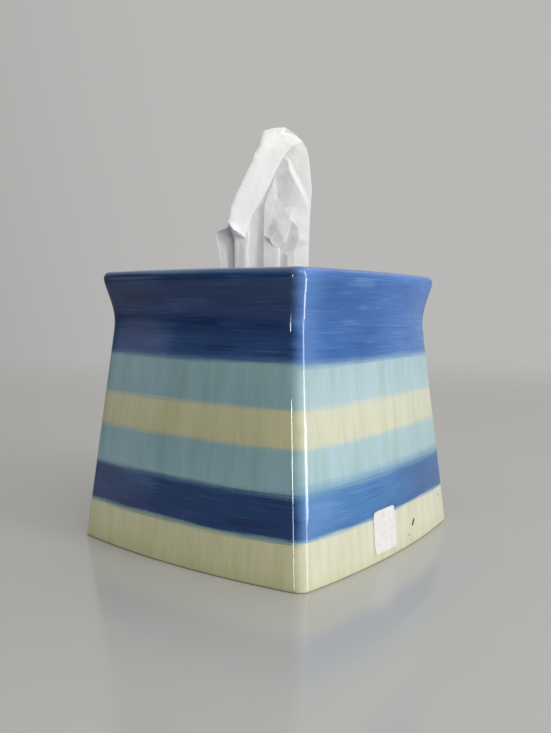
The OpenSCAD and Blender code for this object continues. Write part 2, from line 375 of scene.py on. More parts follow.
glaze = {
    # Height of each colour on the cover in mm, where the coat is thin, and where it is thick and also
    # painted darker as shade on the two faces away from the lamps
    "thinBands": [(0.0, "#DADAB9"), (8.0, "#E2E1CA"), (21.6, "#E2E1CD"), (22.5, "#98B8CE"),
                  (23.5, "#467CB7"), (40.4, "#4A83BD"), (44.0, "#86AFCB"), (48.0, "#AECBD4"),
                  (61.2, "#B2CDD4"), (64.0, "#D8DAC2"), (78.5, "#DADBC6"), (81.3, "#B6CFD6"),
                  (97.8, "#AECAD4"), (100.4, "#7196C4"), (102.6, "#3F74BB"), (144.0, "#4176C0")],
    "thickShadedBands": [(0.0, "#BCBC93"), (9.0, "#CAC8A2"), (19.8, "#CECAA7"), (20.8, "#8FA595"),
                   (22.0, "#7C97A0"), (22.9, "#1B3B6A"), (25.5, "#173768"), (39.8, "#1A3A6A"),
                   (41.3, "#3E5F80"), (43.8, "#8BADB5"), (61.2, "#8BABB3"), (63.8, "#C1BF99"),
                   (78.5, "#C5C39F"), (81.3, "#8BAAB3"), (99.2, "#8FADB4"), (101.4, "#46658B")],
    # One ramp holds no more colours, so the thick coat with its painted shade goes on in a second one from
    # here up
    "topFrom": 101.4,
    "thickShadedTop": [(101.4, "#46658B"), (103.4, "#2C4877"), (109.0, "#294472"), (115.5, "#1F3967"),
                 (128.0, "#112F63"), (140.0, "#183862")],
    # White on the dark bands, the blue ones, and black on the pale ones
    "darkBands": [(0, "#000000"), (21.4, "#000000"), (23.5, "#FFFFFF"), (39, "#FFFFFF"),
                  (45, "#000000"), (97.8, "#000000"), (102.8, "#FFFFFF"), (144, "#FFFFFF")],
    "deepStroke": "#143A7A", "darkStroke": "#0C1C42", "paleStroke": "#86ACDC",
    "rimColour": "#A9C1DE", "pitColour": "#3C3B2E",
    # Each kind of brush mark: its size in mm along x, y and z, its detail and its place in the noise
    "marks": {
        "stroke": ((40, 40, 0.9), 3, 0.0),
        "hair": ((22, 22, 0.42), 1, 7.3),
        "bristle": ((1.5, 1.5, 40), 2, 3.1),
        "broad": ((6, 6, 80), 1, 5.7),
        "patch": ((34, 34, 10.2), 2, 1.9),
        "wander": ((46, 46, 300), 1, 11.0),
        "topStroke": ((40, 1.17, 50), 3, 2.4),
        "topPatch": ((68, 8.5, 50), 2, 8.8),
        "ripple": ((9, 9, 14.4), 1, 4.2),
    },
    "stray": [("wander", 2.2), ("bristle", 0.8), ("stroke", 3.4)],   # how far each moves a band's edge
    # Strokes on the dark bands: where they begin and are full, how strong they are on the thin
    # coat and on the thick, shaded one, and their colour. Mixed marks are patches and strokes together
    "mixed": {"patch": 0.75, "stroke": 0.5},
    "strokes": [("mixed", 0.62, 0.42, 0.34, 0.0, "deepStroke"),
                ("mixed", 0.60, 0.44, 0.0, 0.5, "darkStroke"),
                ("mixed", 0.64, 0.86, 0.30, 0.10, "paleStroke"),
                ("hair", 0.58, 0.76, 0.27, 0.11, "paleStroke")],
    "coatEdge": (5, -7), "coatStray": 10,   # across the two corners where thin and thick coat meet
    # How thick the coat is on the flat top, from which tilt on, and where its strokes turn across
    "topCoat": (0.18, 0.42), "topTilt": (0.75, 0.98), "flatTilt": 0.8,
    # The thin coat runs deeper between these places across the side, and more so higher up
    "deepFrom": (-66, -44), "deepUntil": (26, -24), "deepShare": 0.34,
    "deepRise": (40, 110), "deepLeast": 0.2,
    # Painted sheen makes it paler towards the front corner, beside its highlight, and painted shade makes
    # it deeper to the right in the low band: from, to, share
    "cornerPaintedSheen": (-40, -68, 0.28), "lowPaintedShade": (-15, 30, 0.50), "lowShadeBand": (60, 45),
    # Upright runs in the pale bands, lighter and darker than the ground
    "runs": {"broad": 0.6, "bristle": 0.4},
    "runTints": [(0.34, "#EFF0E8"), (0.5, "#F8F8F5"), (0.66, "#FFFFFF")],
    # The glaze thins above this height and beyond this distance on the rim, less on the thick coat
    "rimRise": (141.2, 143.4), "rimReach": (64.5, 67.2), "rimStray": 1.6,
    "rimShare": 0.2, "rimThick": 0.4,
    "lipReach": (40.5, 38.8), "lipShare": 0.6,   # and on the lip, towards the middle of the hole
    # Pinholes on the label's side: across, height and size
    "pits": [(20.0, 10.5, 1.2), (20.9, 11.5, 1.3), (21.9, 12.5, 1.2), (14.6, 6.0, 0.6),
             (60.3, 17.9, 0.7), (61.5, 16.8, 0.5)],
    "pitsFrom": (50, 60), "rippleDepth": 0.035,
}


def makeBandedGlaze():
    # Underglaze colours brushed on in bands, streaky where the brush ran dry, below a clear
    # glossy glaze that pools evenly and thins to a paler line on the rim
    g, high = glaze, coverSettings["height"]
    material, add, coords = newTree("bandedUnderglaze")
    x, y, z = add("SeparateXYZ", {0: coords}, None).outputs

    # Brush marks are noise stretched to the size of a stroke
    marks = {}
    for name, (sizes, detail, offset) in g["marks"].items():
        fit = add("Mapping", {"Scale": [1 / (size * mm) for size in sizes],
                              "Location": (offset, offset, offset), "Vector": coords})
        marks[name] = add("TexNoise", {"Scale": 1.0, "Detail": detail, "Roughness": 0.55,
                                       "Vector": fit}, "Fac")

    # Height on the cover, pushed up and down a little where the brush strayed
    level = z
    for name, reach in g["stray"]:
        astray = add("Math", {"operation": "SUBTRACT", 0: marks[name], 1: 0.5})
        level = add("Math", {"operation": "MULTIPLY_ADD", 0: astray, 1: reach * mm, 2: level})
    share = add("Math", {"operation": "DIVIDE", 0: level, 1: high * mm, "use_clamp": True})
    # The thick coat's ramps are darker copies of the thin coat's, partly a thicker glaze and partly painted
    # shade
    thin, low, upper, dark = [
        add("ValToRGB", {"stops": [(at / high, tint) for at, tint in g[name]], 0: share})
        for name in ("thinBands", "thickShadedBands", "thickShadedTop", "darkBands")]
    above = add("Math", {"operation": "GREATER_THAN", 0: share, 1: g["topFrom"] / high})
    thick = add("Mix", {"data_type": "RGBA", 0: above, 6: low, 7: upper}, 2)

    # The coat is thin on the label's side, its right and the top, and thick on the other two, whose colours
    # are also painted darker as shade, since those faces look away from the lamps
    side = add("Math", {"operation": "ADD", 0: x, 1: y})
    astray = add("Math", {"operation": "SUBTRACT", 0: marks["patch"], 1: 0.5})
    side = add("Math", {"operation": "MULTIPLY_ADD", 0: astray, 1: g["coatStray"] * mm, 2: side})
    coat = add("MapRange", {**smooth, "Value": side, "From": inMm(g["coatEdge"])})
    tilt = add("SeparateXYZ", {0: add("NewGeometry", output="Normal")}, "Z")
    topCoat = add("MapRange", {"Value": marks["stroke"], "From": (0.35, 0.65), "To": g["topCoat"]})
    onTop = add("MapRange", {**smooth, "Value": tilt, "From": g["topTilt"]})
    coat = add("Mix", {0: onTop, 2: coat, 3: topCoat})
    paint = add("Mix", {"data_type": "RGBA", 0: coat, 6: thin, 7: thick}, 2)

    # On the flat top the strokes run across, since its height never changes
    flat = add("Math", {"operation": "GREATER_THAN", 0: tilt, 1: g["flatTilt"]})
    stroke = add("Mix", {0: flat, 2: marks["stroke"], 3: marks["topStroke"]})
    patch = add("Mix", {0: flat, 2: marks["patch"], 3: marks["topPatch"]})

    # The first brush loads leave the thin coat deeper towards the front corner
    reach = add("MapRange", {**smooth, "Value": y, "From": inMm(g["deepFrom"])})
    past = add("MapRange", {**smooth, "Value": y, "From": inMm(g["deepUntil"]), "To Max": g["deepShare"]})
    lifted = add("MapRange", {"Value": z, "From": inMm(g["deepRise"]), "To Min": g["deepLeast"]})
    deep = reach
    for part in (past, lifted, dark):
        deep = add("Math", {"operation": "MULTIPLY", 0: deep, 1: part})
    paint = add("Mix", {"data_type": "RGBA", 0: deep, 6: paint, 7: g["deepStroke"]}, 2)

    # Dark bands: deeper patches and strokes, paler ones and fine dry hairlines
    mixed = add("Math", {"operation": "MULTIPLY", 0: stroke, 1: g["mixed"]["stroke"]})
    marks["mixed"] = add("Math", {"operation": "MULTIPLY_ADD", 0: patch, 1: g["mixed"]["patch"], 2: mixed})
    for name, start, end, onThin, onThick, tint in g["strokes"]:
        amount = add("MapRange", {**smooth, "Value": marks[name], "From": (start, end)})
        strength = add("MapRange", {"Value": coat, "To": (onThin, onThick)})
        for part in (dark, strength):
            amount = add("Math", {"operation": "MULTIPLY", 0: amount, 1: part})
        paint = add("Mix", {"data_type": "RGBA", 0: amount, 6: paint, 7: g[tint]}, 2)
    thinness = add("Math", {"operation": "SUBTRACT", 0: 1.0, 1: coat})
    darkThin = add("Math", {"operation": "MULTIPLY", 0: dark, 1: thinness})
    # Painted shade: the low band of the thin coat is darkened towards the right, below these heights
    lowShadeFade = add("MapRange", {"Value": z, "From": inMm(g["lowShadeBand"])})
    lowShadeMask = add("Math", {"operation": "MULTIPLY", 0: darkThin, 1: lowShadeFade})
    # Painted sheen on the thin coat's dark bands towards the front corner, and painted shade low down to
    # the right
    for name, place, tint in (("cornerPaintedSheen", darkThin, "paleStroke"), ("lowPaintedShade", lowShadeMask, "deepStroke")):
        start, end, most = g[name]
        amount = add("MapRange", {**smooth, "Value": y, "From": inMm((start, end)), "To Max": most})
        amount = add("Math", {"operation": "MULTIPLY", 0: amount, 1: place})
        paint = add("Mix", {"data_type": "RGBA", 0: amount, 6: paint, 7: g[tint]}, 2)

    # Pale bands: upright runs that tint the ground
    upright = add("Math", {"operation": "MULTIPLY", 0: marks["bristle"], 1: g["runs"]["bristle"]})
    upright = add("Math", {"operation": "MULTIPLY_ADD", 0: marks["broad"], 1: g["runs"]["broad"],
                           2: upright})
    wash = add("ValToRGB", {"stops": g["runTints"], 0: upright})
    light = add("Math", {"operation": "SUBTRACT", 0: 1.0, 1: dark})
    paint = add("Mix", {"data_type": "RGBA", "blend_type": "MULTIPLY", 0: light, 6: paint, 7: wash}, 2)

    # The glaze thins on the outer rim and on the lip of the hole
    away = add("SeparateXYZ", {0: add("VectorMath", {"operation": "ABSOLUTE", 0: coords})}, None).outputs
    outward = add("Math", {"operation": "MAXIMUM", 0: away["X"], 1: away["Y"]})
    rimLevel = add("Math", {"operation": "MULTIPLY_ADD", 0: astray, 1: g["rimStray"] * mm, 2: z})
    rim = add("MapRange", {**smooth, "Value": rimLevel, "From": inMm(g["rimRise"]),
                           "To Max": g["rimShare"]})
    lessThick = add("MapRange", {"Value": coat, "To": (1.0, g["rimThick"])})
    atEdge = add("MapRange", {**smooth, "Value": outward, "From": inMm(g["rimReach"])})
    for part in (lessThick, atEdge):
        rim = add("Math", {"operation": "MULTIPLY", 0: rim, 1: part})
    flatPlace = add("VectorMath", {"operation": "MULTIPLY", 0: coords, 1: (1, 1, 0)})
    radial = add("VectorMath", {"operation": "LENGTH", 0: flatPlace}, "Value")
    lip = add("MapRange", {**smooth, "Value": radial, "From": inMm(g["lipReach"]),
                           "To Max": g["lipShare"]})
    bare = add("Math", {"operation": "MAXIMUM", 0: rim, 1: lip})
    paint = add("Mix", {"data_type": "RGBA", 0: bare, 6: paint, 7: g["rimColour"]}, 2)

    # A few pinholes in the glaze of the label's side
    sidePlace = add("VectorMath", {"operation": "MULTIPLY", 0: coords, 1: (0, 1, 1)})
    onSide = add("MapRange", {"Value": x, "From": inMm(g["pitsFrom"])})
    for across, up, size in g["pits"]:
        pit = (0, across * mm, up * mm)
        gap = add("VectorMath", {"operation": "DISTANCE", 0: sidePlace, 1: pit}, "Value")
        spot = add("MapRange", {**smooth, "Value": gap, "From": inMm((size, size / 2))})
        spot = add("Math", {"operation": "MULTIPLY", 0: spot, 1: onSide})
        paint = add("Mix", {"data_type": "RGBA", 0: spot, 6: paint, 7: g["pitColour"]}, 2)

    relief = add("Bump", {"Strength": 1.0, "Distance": g["rippleDepth"] * mm, "Height": marks["ripple"]})
    surface = add("BsdfPrincipled", {
        "Base Color": paint, "Normal": relief, "Coat Normal": relief, "Roughness": 0.5,
        "Specular IOR Level": 0.0, "IOR": 1.5,
        "Coat Weight": 1.0, "Coat Roughness": 0.022, "Coat IOR": 1.53})
    add("OutputMaterial", {"Surface": surface})
    return material


def makeClearGlaze():
    # White earthenware under clear glaze, as the hollow is finished: off-white, glossy, a few specks
    material, add, coords = newTree("clearGlazedBody")
    cloud = add("TexNoise", {"Scale": 1 / (22 * mm), "Detail": 3, "Vector": coords}, "Fac")
    tone = add("ValToRGB", {"stops": [(0.3, "#DDDBD0"), (0.7, "#EBEAE2")], 0: cloud})
    specks = add("TexVoronoi", {"Scale": 1 / (9 * mm), "Vector": coords}, "Distance")
    speck = add("MapRange", {"Value": specks, "From": (0.045, 0.02), "To Max": 0.6})
    tone = add("Mix", {"data_type": "RGBA", 0: speck, 6: tone, 7: "#8A8474"}, 2)
    wave = add("TexNoise", {"Scale": 1 / (11 * mm), "Detail": 1, "Vector": coords}, "Fac")
    relief = add("Bump", {"Distance": 0.08 * mm, "Height": wave})
    surface = add("BsdfPrincipled", {
        "Base Color": tone, "Normal": relief, "Coat Normal": relief, "Roughness": 0.55,
        "Specular IOR Level": 0.1, "Coat Weight": 1.0, "Coat Roughness": 0.06, "Coat IOR": 1.5})
    add("OutputMaterial", {"Surface": surface})
    return material


def makeBareBody():
    # Wiped foot of the fired body: matt, slightly sandy and cream
    material, add, coords = newTree("bareEarthenware")
    sand = add("TexNoise", {"Scale": 1 / (0.6 * mm), "Detail": 4, "Vector": coords}, "Fac")
    tone = add("ValToRGB", {"stops": [(0.3, "#B9AF98"), (0.7, "#D5CDBA")], 0: sand})
    relief = add("Bump", {"Distance": 0.06 * mm, "Height": sand})
    surface = add("BsdfPrincipled", {"Base Color": tone, "Normal": relief, "Roughness": 0.85})
    add("OutputMaterial", {"Surface": surface})
    return material


cover = makeCover()
for material in (makeBandedGlaze(), makeClearGlaze(), makeBareBody()):
    cover.data.materials.append(material)
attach(cover, "cover")
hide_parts("cover")

# The low card lights the cover alone, so that the floor doesn't mirror it
cardLit = bpy.data.collections.new("cardLit")
cardLit.objects.link(cover)
bpy.data.objects["cardLight"].light_linking.receiver_collection = cardLit
print("cover ready:", len(cover.data.polygons), "faces")


labelSettings = {
    "size": (20.5, 21.0), "middle": (-10.3, 14.8), "corner": 1.8, "thickness": 0.16, "glue": 0.10,
    # The top front corner stands a little off the glaze, from this far out on its diagonal
    "lifted": 0.5, "liftFrom": 0.72, "steps": 26, "sharpAngle": 40,
}


def makeLabel():
    s = labelSettings
    width, tall = s["size"]
    middleY, middleZ = s["middle"]
    corner = s["corner"]
    deselectAll()
    bpy.ops.mesh.primitive_grid_add(x_subdivisions=s["steps"], y_subdivisions=s["steps"], size=1)
    piece = bpy.context.object
    piece.name = "paperLabel"
    for vertex in piece.data.vertices:
        across, up = vertex.co.x * width, vertex.co.y * tall
        # Square corners are drawn in to round ones
        overX, overY = abs(across) - (width / 2 - corner), abs(up) - (tall / 2 - corner)
        if overX > 0 and overY > 0:
            pull = max(overX, overY) / math.hypot(overX, overY)
            across = math.copysign(width / 2 - corner + overX * pull, across)
            up = math.copysign(tall / 2 - corner + overY * pull, up)
        y, z = middleY + across, middleZ + up
        radius = coverSettings["cornerRadius"]
        lean, sideRadius, sideX = sideArc(cornerHalf(z) - radius, radius)
        lift = s["lifted"] * smoothStep(s["liftFrom"], 1.0, (up / tall - across / width))
        x = sideX + math.sqrt(sideRadius ** 2 - y ** 2) + s["glue"] + lift
        vertex.co = Vector((x, y, z)) * mm
    paper = piece.modifiers.new("paper", "SOLIDIFY")
    paper.thickness = s["thickness"] * mm
    paper.offset = 1
    applyAll(piece)
    bpy.ops.object.shade_smooth_by_angle(angle=math.radians(s["sharpAngle"]))
    return piece


def makeLabelPaper():
    # Matt coated label paper, left blank: a faint fibre mottle, rubbed grey in faint patches
    material, add, coords = newTree("matLabelPaper")
    fibre = add("TexNoise", {"Scale": 1 / (0.9 * mm), "Detail": 4, "Vector": coords}, "Fac")
    tone = add("ValToRGB", {"stops": [(0.3, "#E4E1E0"), (0.7, "#F1EFEE")], 0: fibre})
    smudge = add("TexNoise", {"Scale": 1 / (3.2 * mm), "Detail": 3, "Vector": coords}, "Fac")
    rubbed = add("MapRange", {"Value": smudge, "From": (0.5, 0.72), "To Max": 0.35})
    tone = add("Mix", {"data_type": "RGBA", 0: rubbed, 6: tone, 7: "#C9C6C2"}, 2)
    relief = add("Bump", {"Strength": 0.4, "Distance": 0.03 * mm, "Height": fibre})
    surface = add("BsdfPrincipled", {"Base Color": tone, "Normal": relief, "Roughness": 0.6})
    add("OutputMaterial", {"Surface": surface})
    return material


label = makeLabel()
label.data.materials.append(makeLabelPaper())
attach(label, "cover")
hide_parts("price_label")
print("label ready")


cartonSettings = {
    "half": 56, "height": 127,
    "white": ("#E9E9E6", "#F3F3F0"), "greyback": ("#A5A29A", "#B9B6AE"), "worn": "#CFCCC3",
    "ink": "#C9D8E2", "stripePitch": 14, "stripeWidth": 4.2, "stripeBlur": 0.15,
    # Folds are rubbed over this width, a little beyond the faces and frayed by the fibres
    "wornWidth": 0.7, "wornBeyond": 0.25, "fray": 0.6,
    "outsideFrom": (40.0, 40.2),   # a face this far out from the middle of the box is an outer one
}


def makeCartonBoard():
    # Clay-coated greyback board with a plain printed stripe: smooth and white outside, grey and
    # fibrous within and on cut edges, and rubbed along the folds
    c = cartonSettings
    material, add, coords = newTree("coatedCartonBoard")
    normal = add("NewGeometry", output="Normal")
    fibre = add("TexNoise", {"Scale": 1 / (1.4 * mm), "Detail": 5, "Vector": coords}, "Fac")
    coated = add("ValToRGB", {"stops": [(0.3, c["white"][0]), (0.7, c["white"][1])], 0: fibre})
    greyback = add("ValToRGB", {"stops": [(0.3, c["greyback"][0]), (0.7, c["greyback"][1])], 0: fibre})
    place = add("SeparateXYZ", {0: coords}, None).outputs
    distance, facing = [
        add("SeparateXYZ", {0: add("VectorMath", {"operation": "ABSOLUTE", 0: vector})}, None).outputs
        for vector in (coords, normal)]

    # Upright stripes on the four sides
    onX = add("Math", {"operation": "GREATER_THAN", 0: facing["X"], 1: 0.5})
    along = add("Mix", {0: onX, 2: place["X"], 3: place["Y"]})
    wave = add("Math", {"operation": "PINGPONG", 0: along, 1: c["stripePitch"] / 2 * mm})
    stripe = add("MapRange", {"Value": wave, "From Min": (c["stripeWidth"] / 2 + c["stripeBlur"]) * mm,
                              "From Max": (c["stripeWidth"] / 2 - c["stripeBlur"]) * mm})
    upright = add("Math", {"operation": "LESS_THAN", 0: facing["Z"], 1: 0.5})
    stripe = add("Math", {"operation": "MULTIPLY", 0: stripe, 1: upright})
    coated = add("Mix", {"data_type": "RGBA", 0: stripe, 6: coated, 7: c["ink"]}, 2)

    # Folds are where two of the box's outer faces meet
    nearer = add("Math", {"operation": "MINIMUM", 0: distance["X"], 1: distance["Y"]})
    farther = add("Math", {"operation": "MAXIMUM", 0: distance["X"], 1: distance["Y"]})
    below = add("Math", {"operation": "SUBTRACT", 0: place["Z"], 1: (c["height"] - c["half"]) * mm})
    fold = add("Math", {"operation": "MINIMUM", 0: farther, 1: below})
    fold = add("Math", {"operation": "MAXIMUM", 0: nearer, 1: fold})
    frayed = add("Math", {"operation": "MULTIPLY_ADD", 0: fibre, 1: c["fray"] * mm, 2: fold})
    wornTo = c["half"] + c["wornBeyond"]
    worn = add("MapRange", {"Value": frayed, "To Max": 0.8,
                            "From Min": (wornTo - c["wornWidth"]) * mm, "From Max": wornTo * mm})
    coated = add("Mix", {"data_type": "RGBA", 0: worn, 6: coated, 7: c["worn"]}, 2)

    # Outside is where the face looks away from the middle of the box
    middle = add("VectorMath", {"operation": "SUBTRACT", 0: coords, 1: (0, 0, c["height"] / 2 * mm)})
    away = add("VectorMath", {"operation": "DOT_PRODUCT", 0: middle, 1: normal}, "Value")
    outside = add("MapRange", {"Value": away, "From": inMm(c["outsideFrom"])})
    tone = add("Mix", {"data_type": "RGBA", 0: outside, 6: greyback, 7: coated}, 2)
    relief = add("Bump", {"Strength": 0.5, "Distance": 0.05 * mm, "Height": fibre})
    surface = add("BsdfPrincipled", {"Base Color": tone, "Normal": relief, "Roughness": 0.48})
    add("OutputMaterial", {"Surface": surface})
    return material


def makeFilm():
    # Clear polyethylene film: see-through, glossy, drawn into slack ripples beside the slit
    material, add, coords = newTree("clearPolyethyleneFilm")
    drawn = add("Mapping", {"Scale": (1 / (5 * mm), 1 / (26 * mm), 1.0), "Vector": coords})
    ripple = add("TexNoise", {"Scale": 1.0, "Detail": 1, "Distortion": 0.4, "Vector": drawn}, "Fac")
    haze = add("MapRange", {"Value": ripple, "From": (0.3, 0.7), "To": (0.14, 0.24)})
    relief = add("Bump", {"Distance": 0.4 * mm, "Height": ripple})
    surface = add("BsdfPrincipled", {"Base Color": "#F4F6F7", "Normal": relief, "Roughness": 0.15,
                                     "IOR": 1.51, "Alpha": haze})
    add("OutputMaterial", {"Surface": surface})
    return material


for nodeName, material in (("carton", makeCartonBoard()), ("dispensing_film", makeFilm())):
    for slot in bpy.data.objects[nodeName].material_slots:
        slot.material = material
print("carton and film finished")


stackSettings = {
    "half": 53.0, "deepHalf": 52.6, "low": 1.5, "high": 113.5, "bend": 30.0, "gap": 3.0,
    "layers": 24, "steps": 46, "rowsDeep": 5, "loose": 0.5, "shuffle": 0.35,
    "tighten": 0.56, "leastBend": 0.8,   # how fast the bend tightens inwards, and its least radius
    # Shares of a layer's room: its paper, its softened edges and its ruffles
    "paperShare": 0.86, "softShare": 0.28, "ruffleShare": 0.35,
    "softAngle": 50, "sharpAngle": 35,   # edges sharper than these are softened, and shaded sharp
}


# The line of one folded layer, up one leg, over the bend and down the other, at a depth inside the stack
def layerLine(inset):
    s = stackSettings
    half, top = s["half"] - inset, s["high"] - inset
    bend = min(half, max(s["leastBend"], s["bend"] - inset * s["tighten"]))
    legs, arc, over = top - bend - s["low"], bend * math.pi / 2, 2 * (half - bend)
    total = 2 * legs + 2 * arc + over
    points = []
    for step in range(s["steps"]):
        run = total * step / (s["steps"] - 1)
        mirror = run > total / 2
        run = min(run, total - run)
        if run < legs:
            x, z = -half, s["low"] + run
        elif run < legs + arc:
            a = (run - legs) / bend
            x, z = -half + bend * (1 - math.cos(a)), top - bend + bend * math.sin(a)
        else:
            x, z = -half + bend + (run - legs - arc), top
        points.append((-x if mirror else x, z))
    return points


def makeStack():
    s = stackSettings
    pitch = (s["half"] - s["gap"] / 2) / s["layers"]
    pieces = []
    for layer in range(s["layers"]):
        line = layerLine(pitch * (layer + 0.5))
        shift = s["shuffle"] * noise.noise(Vector((layer * 1.7, 3.1, 0)))
        deselectAll()
        bpy.ops.mesh.primitive_grid_add(x_subdivisions=s["steps"] - 1,
                                        y_subdivisions=s["rowsDeep"] - 1, size=0.1)
        sheets = bpy.context.object
        for index, vertex in enumerate(sheets.data.vertices):
            x, z = line[index % s["steps"]]
            y = s["deepHalf"] * (2 * (index // s["steps"]) / (s["rowsDeep"] - 1) - 1) + shift
            spot = Vector((x * 0.05, y * 0.06, z * 0.05 + layer * 0.9))
            ruffle = s["loose"] * noise.noise(spot) * pitch * s["ruffleShare"]
            vertex.co = Vector((x * (1 - ruffle / 60), y, z - ruffle)) * mm
        fold = sheets.modifiers.new("fold", "SOLIDIFY")
        fold.thickness = pitch * s["paperShare"] * mm
        fold.offset = 0
        soft = sheets.modifiers.new("soft", "BEVEL")
        soft.width = pitch * s["softShare"] * mm
        soft.segments = 2
        soft.limit_method = "ANGLE"
        soft.angle_limit = math.radians(s["softAngle"])
        applyAll(sheets)
        pieces.append(sheets)
    deselectAll()
    for sheets in pieces:
        sheets.select_set(True)
    bpy.context.view_layer.objects.active = pieces[0]
    bpy.ops.object.join()
    pieces[0].name = "foldedStack"
    bpy.ops.object.shade_smooth_by_angle(angle=math.radians(s["sharpAngle"]))
    return pieces[0]


